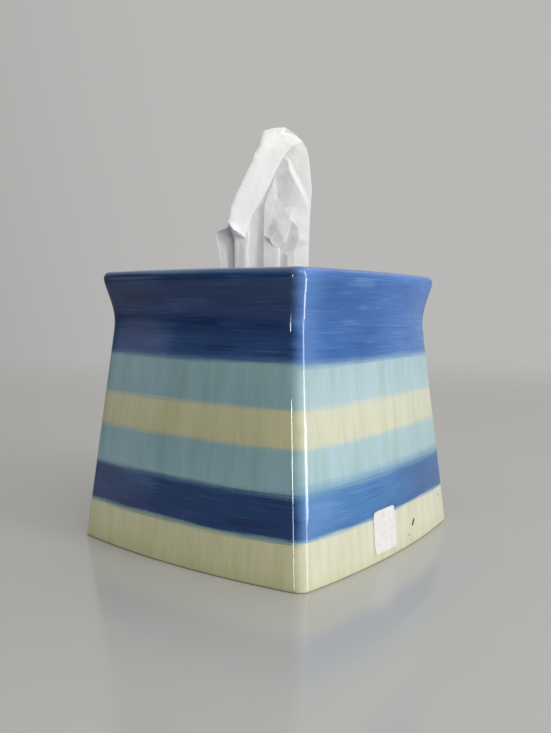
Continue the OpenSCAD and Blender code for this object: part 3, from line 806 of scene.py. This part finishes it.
tissueSettings = {
    "foot": 113.8, "film": 127.0, "rim": 144.0, "tip": 224.3,   # heights in mm
    "turn": 33.8, "neckHalf": 21.4, "neckDepth": 3.0,
    "lowRows": 16, "highRows": 150, "denseBelow": 6,   # the close rows begin this far below the rim
    "bandColumns": 28, "frontColumns": 84, "backColumns": 30, "wedgeColumns": 9,
    "innerLayers": 6, "innerColumns": 9,
    # Outlines: height against distance to the left or right of the middle
    "left": [(144, -21.7), (163, -21.9), (166, -23.1), (171, -25.4), (175, -24.1), (179.4, -23.7),
             (185.8, -21.4), (192.8, -17.9), (199.2, -15.1), (204.4, -12.2), (212.6, -9.9), (216, -9.4)],
    "right": [(144, 19.2), (162, 19.5), (173.6, 19.8), (182.3, 20.3), (189.9, 20.8), (195.7, 20.3),
              (203.8, 19.5), (210.2, 18.6), (214.3, 17.2), (217.2, 15.2)],
    "backLeft": [(144, -29.3), (150, -29.6), (158, -31.0), (166.6, -32.8), (168.2, -29.4), (170, -26.0),
                 (172, -24.0), (179.4, -22.8), (185.8, -20.4), (199.2, -14.0), (204.4, -11.2),
                 (212.6, -8.8), (216, -8.4)],
    "wedgeLift": 1.3, "wedgeCrease": [(146, -23.6), (157, -27.0), (166.6, -31.5)],
    # Top edge: distance against height
    "crown": [(-9.4, 216), (-7.4, 220), (-5.9, 222.2), (-3.1, 223.2), (-0.8, 223.9), (4.3, 224.3),
              (6.3, 224.2), (8.3, 222.9), (11.8, 220.1), (15.2, 217.2), (17.2, 214.3)],
    "crownFrom": 195,
    # The turned-down band: its free edge, the foot of it and how far it slants
    "bandEdge": [(160, -12.9), (169, -14.4), (173, -13.6), (176.5, -11.9), (181.2, -8.8), (191.6, -3.1),
                 (200.9, 1.0), (209, 5.6), (213, 9.6), (214.9, 12.6), (216.6, 15.6), (217.2, 22)],
    "bandFoot": 163.8, "bandSlant": 6.0,
    "bandSwell": [(0, 6.9), (0.1, 7.0), (0.25, 6.2), (0.5, 4.3), (0.75, 2.9), (0.93, 1.9), (1, 1.2)],
    # How full the gathered sheet is at a height, in mm
    "fullness": [(113, 3.4), (127, 3.4), (144, 6.9), (158, 8.2), (172, 8.6), (190, 7.7),
                 (200, 6.9), (208, 6.0), (216, 4.2), (221, 2.2), (224.3, 0.5)],
    # Creases of the front, each a line of distance, height and depth
    "creases": [
        [(-40, 120, 0), (-40, 240, 0)], [(40, 120, 0), (40, 240, 0)],
        [(-21.9, 130, 1.9), (-21.9, 161, 1.9), (-25.2, 171, 0.2), (-21.2, 185.8, 0.2), (-14.9, 199.2, 0.2),
         (-9.7, 212.6, 0.2), (-9, 217, 0.2), (-3, 226, 0.2), (6, 227, 0.2)],
        # Fold on the left, with its sharp edge, then the flat recess
        [(-19.2, 130, 2.3), (-19.0, 156, 2.3), (-19.2, 164, 1.6)],
        [(-16.2, 130, 3.1), (-16.0, 158, 3.1), (-15.6, 165, 2.4), (-15.2, 171, 0.8)],
        [(-14.8, 130, 2.9), (-14.4, 158, 2.9), (-13.9, 165, 2.3), (-14.0, 171, 0.8)],
        [(-14.4, 130, 0.5), (-14.0, 158, 0.5), (-13.5, 165, 0.6), (-12.3, 171, 0.6)],
        [(-9.4, 130, 0.5), (-9.0, 152, 0.4), (-8.6, 166, 0.7), (-8.2, 176, 0.8)],
        [(-6.2, 130, 1.3), (-6.0, 165, 1.4), (-5.8, 181, 1.3), (-3.9, 187, 1.0), (-1.6, 192.4, 0.8),
         (0.3, 198, 0.6), (5.2, 208.4, 0.5), (13, 214.6, 0.5)],
        # Middle fold: its left edge, and its foot on the right
        [(-5.9, 130, 3.0), (-5.7, 165, 2.9), (-5.5, 181, 2.7), (-3.5, 187.2, 2.4), (-1.0, 192.8, 2.0),
         (0.8, 197.6, 1.1)],
        [(0.6, 130, 3.4), (0.8, 158.6, 3.4)],
        [(2.8, 130, 3.3), (3.0, 158.4, 3.3), (5.7, 161.9, 3.9), (7.9, 168, 4.4), (10.1, 173.6, 4.9)],
        [(3.0, 130, 0.5), (3.3, 158.0, 0.6), (6.2, 161.4, 2.5), (8.6, 167.8, 2.7)],
        [(4.6, 130, 0.7), (5.2, 156, 0.9)],
        [(7.4, 130, 3.3), (7.6, 154, 3.3)],
        # Petal that stands off the middle fold
        [(-2.0, 162.6, 5.2), (2.9, 168.8, 5.9), (9.0, 174.8, 5.6)],
        [(-1.0, 161.8, 3.6), (3.6, 161.3, 3.6)],
        [(-3.8, 166, 2.7), (0.2, 174.6, 2.9), (5.6, 180.4, 2.7)],
        [(2.1, 190.2, 1.3), (1.9, 185.6, 1.5)],
        # Arc across the middle, then the light ridge above it on the right
        [(-3.6, 183.2, 2.4), (0.2, 184.8, 2.3), (4.3, 185.2, 2.5), (8.3, 183.2, 3.2), (11.8, 181.1, 3.3),
         (16.4, 177.7, 2.4), (19.3, 175.3, 0.6)],
        [(7.7, 206.2, 2.2), (8.5, 200.9, 3.5), (11.8, 194.5, 4.1), (15.7, 187, 3.6), (18.7, 179.8, 1.8)],
        [(8.9, 206.2, 1.3), (11.1, 201.3, 1.6), (14.2, 195.1, 1.7), (17.6, 188.2, 1.4), (19.6, 182.3, 0.9)],
        # Hollow facet under the petal and the side that falls away to the right
        [(10.6, 174.4, 3.9), (13.6, 169, 3.9), (14.0, 163.1, 3.9), (11.2, 156.4, 3.4), (7.0, 160.5, 1.6)],
        [(11.6, 130, 3.0), (11.4, 150, 3.1)],
        [(19.3, 130, 0), (19.6, 162, 0), (19.9, 173.6, 0.3), (20.9, 190, 1.3), (19.6, 203.8, 1.3),
         (18.7, 210.2, 0.6), (17.3, 214.3, 0), (15, 219, 0), (6.5, 227, 0)],
    ],
    # Depth where creases cross, height where they begin, and the places that a depth is averaged over
    "crossDepth": 1.5, "creaseFoot": 131, "blur": [(0, 0), (0.2, 0), (-0.2, 0), (0, 0.3), (0, -0.3)],
    # Small turned facet at the very top
    "tipFacet": [(2.6, 220.7), (6.6, 224.6), (11.0, 219.9)], "facetDepth": 0.9,
    # Shares of the fullness that the front and the back swell by, and how much the band shows the folds
    "frontSwell": 0.15, "backSwell": 0.62, "bandRelief": 0.35,
    # Pleats of the back: depth, turns across and up, and start
    "pleats": [(0.9, 0.62, 0.021, 0), (0.5, 1.31, -0.05, 2)],
    "behind": 0.5, "backSlope": 0.035,   # how far behind the edge the back begins, and its steepest rise
    "creaseReach": 3.2, "creaseDent": 0.75, "tuck": 2.0, "tuckDepth": 1.3, "innerInset": 2.2,
    "wrinkles": [(0.26, 0.16), (0.10, 0.5)],   # depth in mm, and how close together
    "flat": (0.21, 0.21), "thickness": 0.13, "softAngle": 38, "sheetThin": 0.45,
}


# The creases joined up into a net of facets, for looking up the depth at a place
def makeCreaseNet():
    places, lines = [], []
    for crease in tissueSettings["creases"]:
        lines += [(len(places) + i, len(places) + i + 1) for i in range(len(crease) - 1)]
        places += crease
    flat = [Vector((e, z)) for e, z, depth in places]
    corners, _, facets, origins, _, _ = delaunay_2d_cdt(flat, lines, [], 0, 0.001)
    depths = [places[origin[0]][2] if origin else tissueSettings["crossDepth"] for origin in origins]
    net = [Vector((corner.x, corner.y, depth)) for corner, depth in zip(corners, depths)]
    return BVHTree.FromPolygons(net, facets)


def creaseDepth(net, e, z):
    t = tissueSettings
    total = 0.0
    for de, dz in t["blur"]:
        hit = net.ray_cast(Vector((e + de, max(t["creaseFoot"], z + dz), 50)), Vector((0, 0, -1)))[0]
        total += hit.z if hit else 0.0
    return total / len(t["blur"])


# Rows above the shoulder bunch up or spread so that the last one follows the top edge
def heightAt(h, e):
    t = tissueSettings
    start = t["crownFrom"]
    if h <= start:
        return h
    return start + (h - start) * (between(t["crown"], e) - start) / (t["tip"] - start)


def edgeAt(name, h):
    e = between(tissueSettings[name], h)
    for _ in range(14):
        e += 0.5 * (between(tissueSettings[name], heightAt(h, e)) - e)
    return e


# One row of the gathered sheet from its free edge inwards: distance, depth and sag of each column
def tissueRow(h, net):
    t = tissueSettings
    opened = smoothStep(t["film"] - 2, t["rim"], h)
    full = between(t["fullness"], h)
    left = edgeAt("left", h) * opened - t["neckHalf"] * (1 - opened)
    right = edgeAt("right", h) * opened + t["neckHalf"] * (1 - opened)
    backLeft = edgeAt("backLeft", h) * opened - t["neckHalf"] * (1 - opened)
    tight = t["neckDepth"] * (1 - opened)

    def crown(e, low=left, high=right):
        w = min(1.0, max(0.0, (e - low) / (high - low)))
        return math.sqrt(max(0.0, 4 * w * (1 - w)))

    def front(e):
        folds = creaseDepth(net, e, heightAt(h, e)) * opened * min(1, full / 4)
        return folds + crown(e) * (t["frontSwell"] * full * opened + tight)

    # How far inside the small facet at the top, from its nearest edge
    def facetDip(e, z):
        corners = [Vector(corner) for corner in t["tipFacet"]]
        reach = 9.0
        for a, b in zip(corners, corners[1:] + corners[:1]):
            along = (b - a).normalized()
            reach = min(reach, along.y * (e - a.x) - along.x * (z - a.y))
        return max(0.0, reach)

    row = []
    # The turned-down band, from its free edge to the left side
    foot = t["bandFoot"]
    shown = smoothStep(foot, foot + 1.2, h)
    bandRight = max(left + 0.4, min(right - 0.05, edgeAt("bandEdge", h)))
    for i in range(t["bandColumns"]):
        w = 1 - i / t["bandColumns"]
        e = left + (bandRight - left) * w * (shown if h > foot else 0.02)
        risen = 0.7 + 0.3 * smoothStep(foot, foot + 2.5, h)
        swell = between(t["bandSwell"], w) * risen * min(1.0, full / 5)
        sag = t["bandSlant"] * (w - 0.5) * (1 - smoothStep(foot, foot + 14, h)) * shown
        dip = t["facetDepth"] * facetDip(e, heightAt(h, e))
        depth = (front(e) * t["bandRelief"] + swell - dip) * shown + front(e) * (1 - shown) * 0.5
        row.append((e, depth, sag))
    for i in range(t["frontColumns"]):
        e = left + (right - left) * i / (t["frontColumns"] - 1)
        row.append((e, front(e), 0))
    # The back is pleated, and lifts a little towards the corner that shows on the left
    stands = min(1.0, (left - backLeft) / 4)
    for i in range(t["backColumns"]):
        e = right + (backLeft - right) * i / (t["backColumns"] - 1)
        pleat = sum(size * math.sin(e * across + h * up + start) for size, across, up, start in t["pleats"])
        deep = t["backSwell"] * full * opened + tight + 0.5 * opened + pleat * opened * min(1, full / 4)
        lift = t["wedgeLift"] * opened * max(0.0, 1 - (e - backLeft) / 5) ** 2 * stands
        rise = min(crown(e, backLeft, right), t["backSlope"] * (e - backLeft))
        row.append((e, lift - (t["behind"] + rise * deep), 0))
    # That corner turns back in, with a crease across it
    for i in range(t["wedgeColumns"]):
        w = (i + 1) / (t["wedgeColumns"] + 1)
        e = backLeft + (left + t["tuck"] - backLeft) * w
        crease = max(0.0, 1 - abs(e - between(t["wedgeCrease"], h)) / t["creaseReach"])
        lift = t["wedgeLift"] * opened * stands
        dent = t["creaseDent"] * crease * opened * min(1.0, 4 * w * (1 - w))
        row.append((e, (lift - t["behind"]) * (1 - w) - t["tuckDepth"] * w - dent, 0))
    # The rest of the sheet lies folded to and fro inside
    for layer in range(t["innerLayers"]):
        for i in range(t["innerColumns"]):
            w = (i + 0.5) / t["innerColumns"]
            inset = t["innerInset"]
            e = left + inset + (right - left - 2 * inset) * (1 - w if layer % 2 else w)
            low = -(t["behind"] + crown(e) * (0.5 * full * opened + tight * 0.9)) + 0.4
            high = -0.1 * opened + crown(e) * tight * 0.7
            row.append((e, low + (high - low) * (layer + 0.5) / t["innerLayers"], 0))
    return row


def makeTissue():
    t = tissueSettings
    net = makeCreaseNet()
    split = t["rim"] - t["denseBelow"]
    heights = [t["foot"] + (split - t["foot"]) * j / t["lowRows"] for j in range(t["lowRows"])]
    heights += [split + (t["tip"] - split) * j / (t["highRows"] - 1) for j in range(t["highRows"])]
    rows = [(h, tissueRow(h, net)) for h in heights]
    columns = len(rows[0][1])
    deselectAll()
    bpy.ops.mesh.primitive_grid_add(x_subdivisions=columns - 1, y_subdivisions=len(rows) - 1,
                                    size=t["flat"][0])
    piece = bpy.context.object
    piece.name = "poppedTissue"
    # How thin the paper lies: the turned-down band is doubled, the corner on the left a single sheet. The
    # tone from it is partly painted light and shade: the band whiter where it catches the light, the corner
    # greyer where it lies in shade
    thin = [0.0] * t["bandColumns"] + [t["sheetThin"]] * (t["frontColumns"] + t["backColumns"])
    thin += [1.0] * t["wedgeColumns"] + [t["sheetThin"]] * (t["innerLayers"] * t["innerColumns"])
    piece.data.attributes.new("thin", "FLOAT", "POINT").data.foreach_set("value", thin * len(rows))
    for index, vertex in enumerate(piece.data.vertices):
        h, row = rows[index // columns]
        e, depth, sag = row[index % columns]
        z = heightAt(h, e) - sag
        spot = Vector((e, depth * 2, z))
        wrinkle = sum(size * noise.noise(spot * close) for size, close in t["wrinkles"])
        depth += wrinkle * smoothStep(t["film"] + 1, t["rim"] + 2, h)
        turn = math.radians(t["turn"]) * min(1.0, max(0.0, (z - t["film"]) / (t["rim"] - t["film"])))
        vertex.co = Vector((e * math.cos(turn) + depth * math.sin(turn),
                            e * math.sin(turn) - depth * math.cos(turn), z)) * mm
    ply = piece.modifiers.new("ply", "SOLIDIFY")
    ply.thickness = t["thickness"] * mm
    ply.offset = 0
    applyAll(piece)
    bpy.ops.object.shade_smooth_by_angle(angle=math.radians(t["softAngle"]))
    return piece


def makeTissuePaper():
    # Two-ply facial tissue, creped: soft white, no gloss, lets a little light through. Whiter on the
    # doubled band and greyer on the single tucked corner, partly the paper's layers and partly painted
    # light and shade
    material, add, coords = newTree("crepedTissue")
    crepe = add("TexNoise", {"Scale": 1 / (1.1 * mm), "Detail": 3, "Roughness": 0.6,
                             "Vector": coords}, "Fac")
    # Painted light whitens the band and painted shade greys the tucked corner, by way of the thin attribute
    thin = add("Attribute", {"attribute_name": "thin"}, "Fac")
    tone = add("ValToRGB", {"stops": [(0, "#FFFEFB"), (0.45, "#F2F2EF"), (1, "#DDDCD8")], 0: thin})
    relief = add("Bump", {"Strength": 0.3, "Distance": 0.1 * mm, "Height": crepe})
    paper = add("BsdfPrincipled", {"Base Color": tone, "Normal": relief, "Roughness": 0.9,
                                   "Specular IOR Level": 0.2, "Sheen Weight": 0.08})
    through = add("BsdfTranslucent", {"Color": tone, "Normal": relief})
    add("OutputMaterial", {"Surface": add("MixShader", {0: 0.12, 1: paper, 2: through})})
    return material


tissuePaper = makeTissuePaper()
tissue = makeTissue()
tissue.data.materials.append(tissuePaper)
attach(tissue, "tissue")
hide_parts("tissue")

stack = makeStack()
stack.data.materials.append(tissuePaper)
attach(stack, "carton")
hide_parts("tissue_stack")
print("tissue ready:", len(tissue.data.polygons), "faces; stack:", len(stack.data.polygons), "faces")
